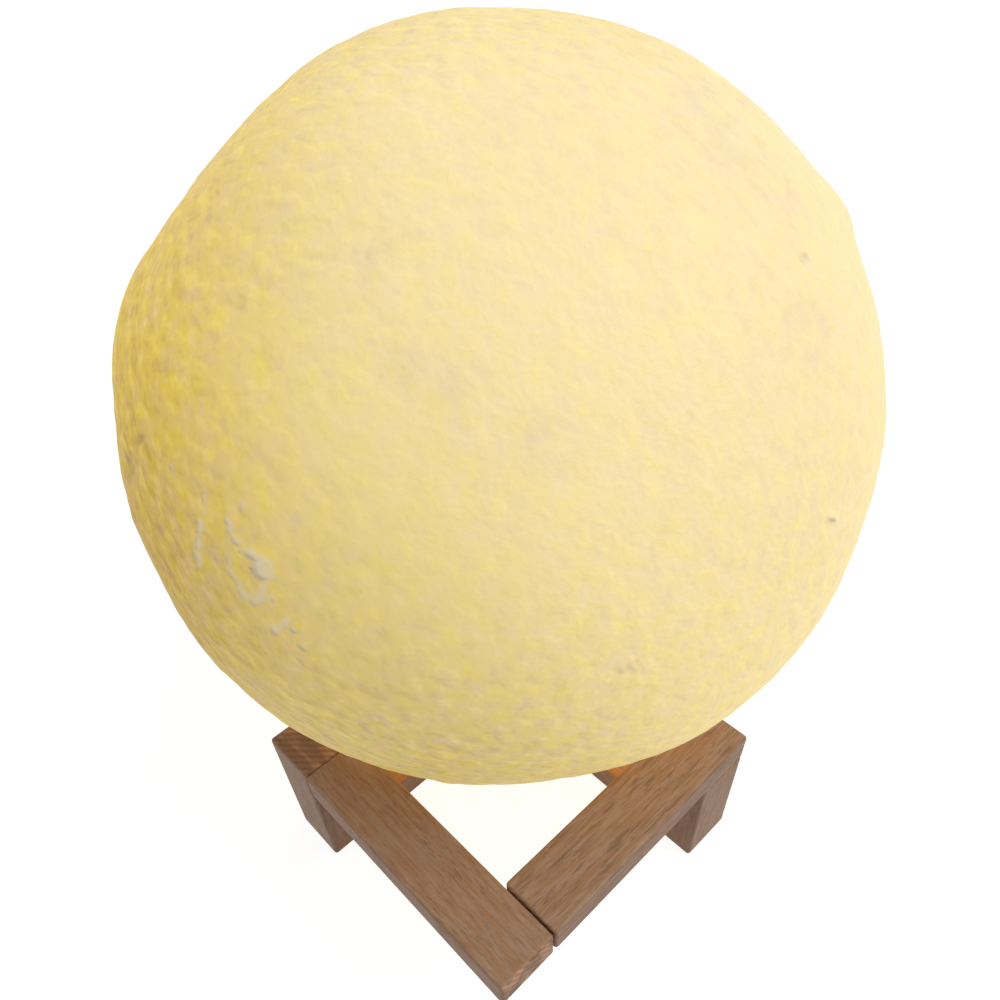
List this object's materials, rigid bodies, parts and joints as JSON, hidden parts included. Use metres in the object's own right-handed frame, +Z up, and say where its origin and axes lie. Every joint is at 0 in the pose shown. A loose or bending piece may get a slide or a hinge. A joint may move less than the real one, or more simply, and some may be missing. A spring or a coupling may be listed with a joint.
{
  "type": "moon lamp",
  "caption": "Ball-shaped lamp with a printed moon-like relief, resting loose on a crossed beech stand, with a rechargeable base in the ball's underside.",
  "frame": {"origin": "on the table, under the middle of the ball", "axes": "+Z up; the stand's bars lie along X and Y, and its front corner points to -X and -Y"},
  "size_m": [0.15, 0.15, 0.1647],
  "materials": {
    "beech": "oiled beech, fine dark flecks along the grain",
    "dowel_beech": "bare beech",
    "moon_print": "printed PLA, pitted relief, translucent white",
    "base_plastic": "white ABS, fine texture",
    "foam": "closed-cell foam",
    "screw_steel": "zinc-plated steel",
    "socket_steel": "plated steel",
    "board_laminate": "green circuit board",
    "switch_plastic": "black switch body",
    "button_plastic": "light grey plastic",
    "clear_plastic": "clear acrylic",
    "chip_plastic": "black chip packages",
    "cell_foil": "foil pouch",
    "wire_red": "insulated wire",
    "lamp_board_aluminium": "white-coated aluminium board",
    "lamp_yellow": "lamp phosphor"
  },
  "bodies": {
    "stand": {"front_right_bar": "beech", "front_left_bar": "beech", "rear_left_bar": "beech", "rear_right_bar": "beech", "front_right_post": "beech", "front_left_post": "beech", "rear_left_post": "beech", "rear_right_post": "beech", "lower_rail": "beech", "upper_rail": "beech", "dowel_pins": "dowel_beech"},
    "moon": {"moon_shell": "moon_print", "base_gasket": "foam", "base_housing": "base_plastic", "base_cover": "base_plastic", "cover_screws": "screw_steel", "control_board": "board_laminate", "board_screws": "screw_steel", "charge_socket": "socket_steel", "push_switch": "switch_plastic", "indicator_light_pipe": "clear_plastic", "board_chips": "chip_plastic", "battery_cell": "cell_foil", "battery_foam_pads": "foam", "battery_wires": "wire_red", "led_board": "lamp_board_aluminium", "led_chips": "lamp_yellow", "led_wires": "wire_red", "led_board_screws": "screw_steel"},
    "power_button": {"power_button": "button_plastic"}
  },
  "joints": [
    {"name": "moon_lift", "type": "slide", "parent": "stand", "child": "moon", "axis": [0, 0, 1], "range_m": [0, 0.06]},
    {"name": "power_button_press", "type": "slide", "parent": "moon", "child": "power_button", "axis": [0, 0, 1], "range_m": [0, 0.0007], "stiffness_N_per_m": 900, "springref_m": -0.001}
  ]
}
